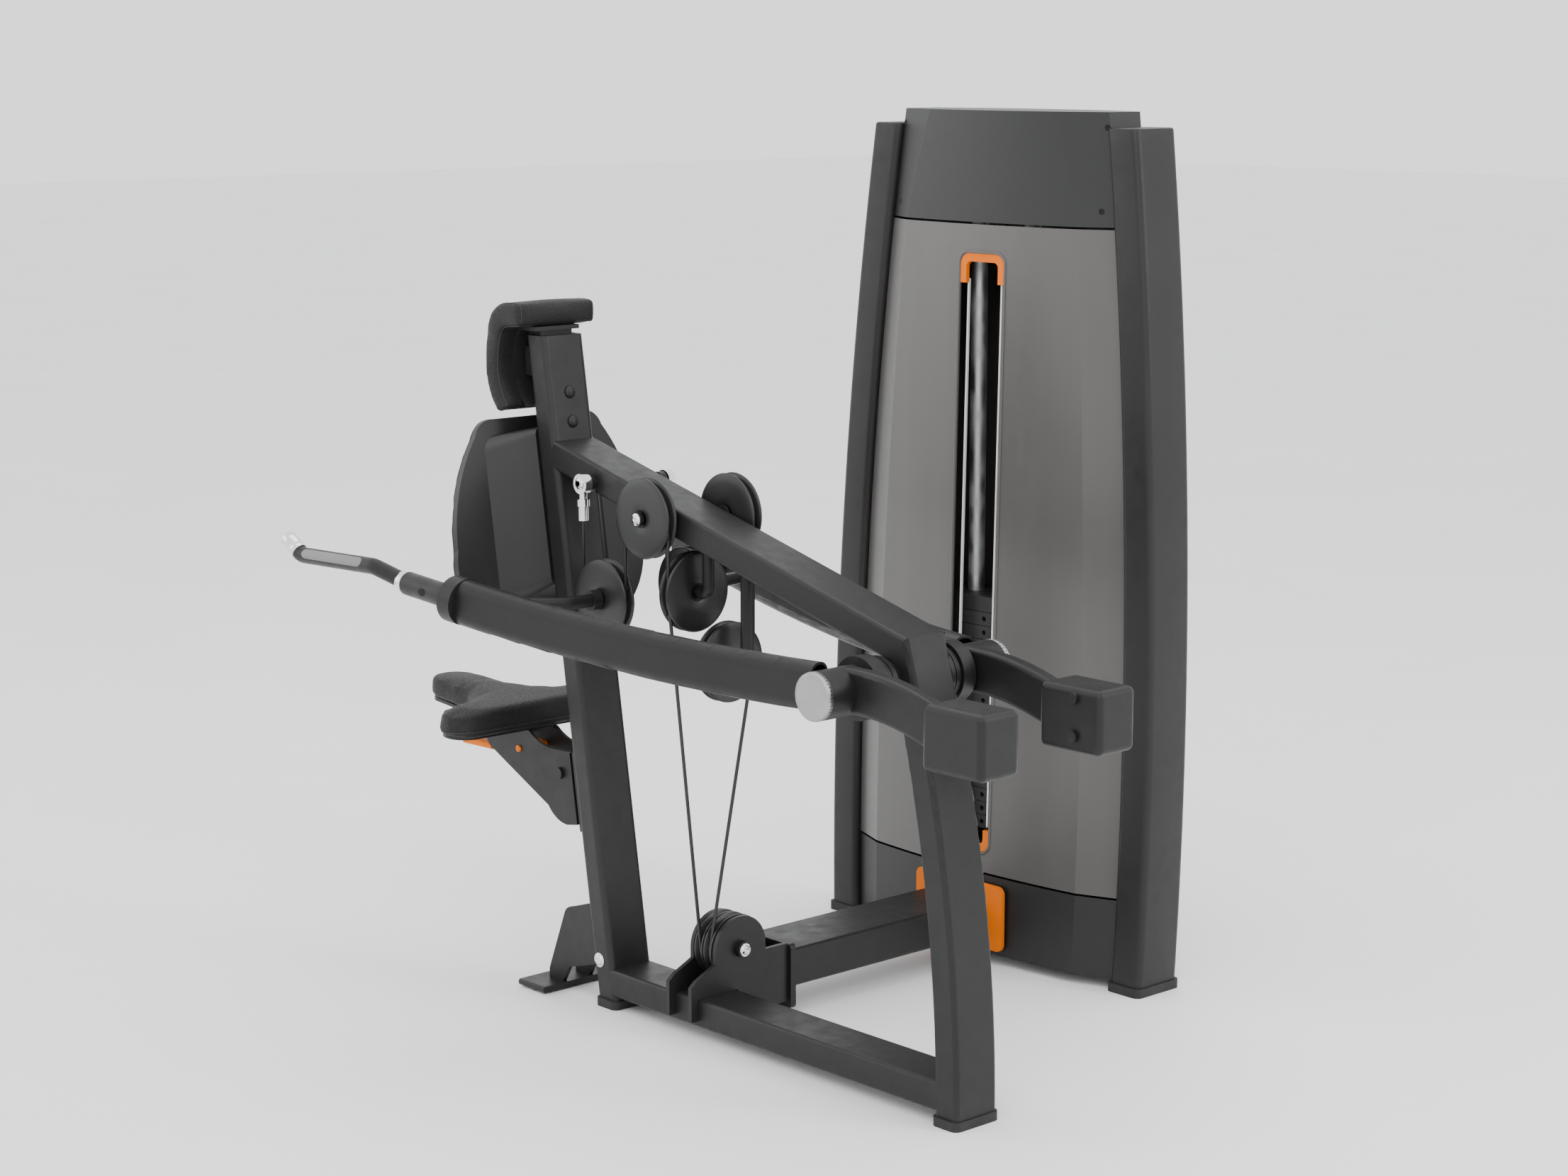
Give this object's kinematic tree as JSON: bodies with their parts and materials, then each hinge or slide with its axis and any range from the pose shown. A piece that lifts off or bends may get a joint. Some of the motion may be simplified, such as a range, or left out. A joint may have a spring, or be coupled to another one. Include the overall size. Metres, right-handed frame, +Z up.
{
  "type": "seated dip machine",
  "caption": "Seated press-down gym machine: counterweighted lever arms with swivel handles, adjustable seat, cables and a weight-stack tower.",
  "frame": {"origin": "middle of the footprint's bounding box, on the floor", "axes": "+Z up; the user faces -X; +Y runs from the seat frame to the weight tower"},
  "size_m": [1.5492, 1.1762, 1.526],
  "materials": {
    "frame_paint": "fine textured satin charcoal powder coat",
    "tower_paint": "satin dark grey powder coat",
    "shroud_paint": "smooth satin warm grey paint",
    "hood_plastic": "matt moulded dark grey",
    "light_strip": "translucent pale strip",
    "orange_paint": "satin orange powder coat",
    "chrome": "polished",
    "steel": "drawn bar",
    "stack_iron": "black coated",
    "rubber": "matt",
    "pulley_plastic": "turned black nylon",
    "cable_black": "black sheathed steel cable",
    "pad_leather": "grained dark warm grey upholstery"
  },
  "bodies": {
    "root": {"main_column": "frame_paint", "base_beam": "frame_paint", "rear_leg": "frame_paint", "diagonal_beam": "frame_paint", "pivot_housing": "frame_paint", "front_foot_plate": "frame_paint", "rubber_feet": "rubber", "base_pulley_bracket": "frame_paint", "connecting_beam": "frame_paint", "beam_flange": "orange_paint", "corner_hangers": "frame_paint", "pulley_axles": "frame_paint", "cable_rod_ends": "chrome", "near_cable": "cable_black", "far_cable": "cable_black", "seat_rail": "steel", "back_pad": "pad_leather", "back_shell": "hood_plastic", "head_pad": "pad_leather", "head_board": "frame_paint", "tower_column_left": "tower_paint", "tower_column_right": "tower_paint", "tower_hood": "hood_plastic", "tower_front_shroud": "shroud_paint", "tower_rear_shroud": "shroud_paint", "tower_plinth": "hood_plastic", "slot_trim": "orange_paint", "slot_light_strips": "light_strip", "guide_rods": "steel", "tower_base": "frame_paint", "stack_buffers": "rubber", "top_crossmember": "frame_paint", "lifting_cable": "cable_black", "resting_plates": "stack_iron", "frame_bolts": "frame_paint"},
    "near_arm": {"near_arm": "frame_paint", "near_counterweight": "frame_paint", "near_cable_loop": "cable_black"},
    "far_arm": {"far_arm": "frame_paint", "far_counterweight": "frame_paint", "far_cable_loop": "cable_black"},
    "near_handle": {"near_handle": "frame_paint"},
    "far_handle": {"far_handle": "frame_paint"},
    "near_arm_pulley": {"near_arm_pulley": "pulley_plastic"},
    "far_arm_pulley": {"far_arm_pulley": "pulley_plastic"},
    "near_top_pulley": {"near_top_pulley": "pulley_plastic"},
    "far_top_pulley": {"far_top_pulley": "pulley_plastic"},
    "near_corner_pulley": {"near_corner_pulley": "pulley_plastic"},
    "far_corner_pulley": {"far_corner_pulley": "pulley_plastic"},
    "base_pulleys": {"base_pulleys": "pulley_plastic"},
    "tower_pulleys": {"tower_pulleys": "pulley_plastic"},
    "top_pulley": {"top_pulley": "pulley_plastic"},
    "yoke": {"yoke": "frame_paint"},
    "stack": {"selected_plates": "stack_iron", "top_plate": "stack_iron"},
    "selector_pin": {"selector_pin": "chrome"},
    "seat": {"seat_pad": "pad_leather", "seat_bracket": "frame_paint", "seat_carriage": "frame_paint"},
    "seat_lever": {"seat_lever": "orange_paint"}
  },
  "joints": [
    {"name": "near_arm_press", "type": "hinge", "parent": "root", "child": "near_arm", "pos_m": [0.45058, -0.38144, 0.677], "axis": [0, -1, 0], "range_deg": [0, 25]},
    {"name": "far_arm_press", "type": "hinge", "parent": "root", "child": "far_arm", "pos_m": [0.45058, -0.12643, 0.677], "axis": [0, -1, 0], "range_deg": [0, 25]},
    {"name": "near_handle_swivel", "type": "hinge", "parent": "near_arm", "child": "near_handle", "pos_m": [-0.43442, -0.55344, 0.748], "axis": [-0.9961, -0.0329, 0.0823], "range_deg": [-90, 90]},
    {"name": "far_handle_swivel", "type": "hinge", "parent": "far_arm", "child": "far_handle", "pos_m": [-0.43442, 0.04557, 0.748], "axis": [-0.9961, 0.0329, 0.0823], "range_deg": [-90, 90]},
    {"name": "near_arm_pulley_spin", "type": "hinge", "parent": "near_arm", "child": "near_arm_pulley", "pos_m": [-0.20242, -0.31844, 0.725], "axis": [0, 1, 0], "range_deg": [0, 319.17]},
    {"name": "far_arm_pulley_spin", "type": "hinge", "parent": "far_arm", "child": "far_arm_pulley", "pos_m": [-0.13842, -0.18943, 0.739], "axis": [0, 1, 0], "range_deg": [0, 292.36]},
    {"name": "near_top_pulley_spin", "type": "hinge", "parent": "root", "child": "near_top_pulley", "pos_m": [-0.09242, -0.31844, 0.873], "axis": [0, 1, 0], "range_deg": [-586.35, 0]},
    {"name": "far_top_pulley_spin", "type": "hinge", "parent": "root", "child": "far_top_pulley", "pos_m": [-0.02842, -0.18943, 0.876], "axis": [0, 1, 0], "range_deg": [-532.73, 0]},
    {"name": "near_corner_pulley_spin", "type": "hinge", "parent": "root", "child": "near_corner_pulley", "pos_m": [-0.03742, -0.26343, 0.752], "axis": [1, 0, 0], "range_deg": [-586.35, 0]},
    {"name": "far_corner_pulley_spin", "type": "hinge", "parent": "root", "child": "far_corner_pulley", "pos_m": [0.02658, -0.24444, 0.641], "axis": [1, 0, 0], "range_deg": [0, 532.73]},
    {"name": "base_pulleys_spin", "type": "hinge", "parent": "root", "child": "base_pulleys", "pos_m": [-0.02292, -0.20344, 0.14], "axis": [1, 0, 0], "range_deg": [-620.79, 0]},
    {"name": "tower_pulleys_spin", "type": "hinge", "parent": "root", "child": "tower_pulleys", "pos_m": [-0.02292, 0.48657, 0.14], "axis": [1, 0, 0], "range_deg": [-620.79, 0]},
    {"name": "top_pulley_spin", "type": "hinge", "parent": "root", "child": "top_pulley", "pos_m": [-0.02967, 0.50357, 1.4], "axis": [0.9797, -0.2004, 0], "range_deg": [-920.55, 0]},
    {"name": "yoke_drop", "type": "slide", "parent": "root", "child": "yoke", "axis": [0, 0, -1], "range_m": [0, 0.541], "deforming": ["near_cable", "far_cable"]},
    {"name": "stack_lift", "type": "slide", "parent": "root", "child": "stack", "axis": [0, 0, 1], "range_m": [0, 0.541], "deforming": ["lifting_cable"]},
    {"name": "selector_pin_pull", "type": "slide", "parent": "stack", "child": "selector_pin", "axis": [0, -1, 0], "range_m": [0, 0.08]},
    {"name": "seat_height", "type": "slide", "parent": "root", "child": "seat", "axis": [-0.1551, 0, 0.9879], "range_m": [-0.04, 0.1]},
    {"name": "seat_lever_lift", "type": "hinge", "parent": "seat", "child": "seat_lever", "pos_m": [-0.48642, -0.25394, 0.414], "axis": [0, 1, 0], "range_deg": [0, 12], "stiffness_Nm_per_rad": 3, "springref_deg": -11.46}
  ],
  "couplings": [
    {"joint": "far_arm_press", "follows": "near_arm_press", "ratio": 1},
    {"joint": "near_arm_pulley_spin", "follows": "near_arm_press", "ratio": 12.687},
    {"joint": "far_arm_pulley_spin", "follows": "near_arm_press", "ratio": 11.615},
    {"joint": "near_top_pulley_spin", "follows": "near_arm_press", "ratio": -23.374},
    {"joint": "far_top_pulley_spin", "follows": "near_arm_press", "ratio": -21.229},
    {"joint": "near_corner_pulley_spin", "follows": "near_arm_press", "ratio": -23.374},
    {"joint": "far_corner_pulley_spin", "follows": "near_arm_press", "ratio": 21.229},
    {"joint": "base_pulleys_spin", "follows": "near_arm_press", "ratio": -24.752},
    {"joint": "tower_pulleys_spin", "follows": "near_arm_press", "ratio": -24.752},
    {"joint": "top_pulley_spin", "follows": "near_arm_press", "ratio": -36.742},
    {"joint": "yoke_drop", "follows": "near_arm_press", "m_per_rad": 1.2376},
    {"joint": "stack_lift", "follows": "near_arm_press", "m_per_rad": 1.2376}
  ]
}
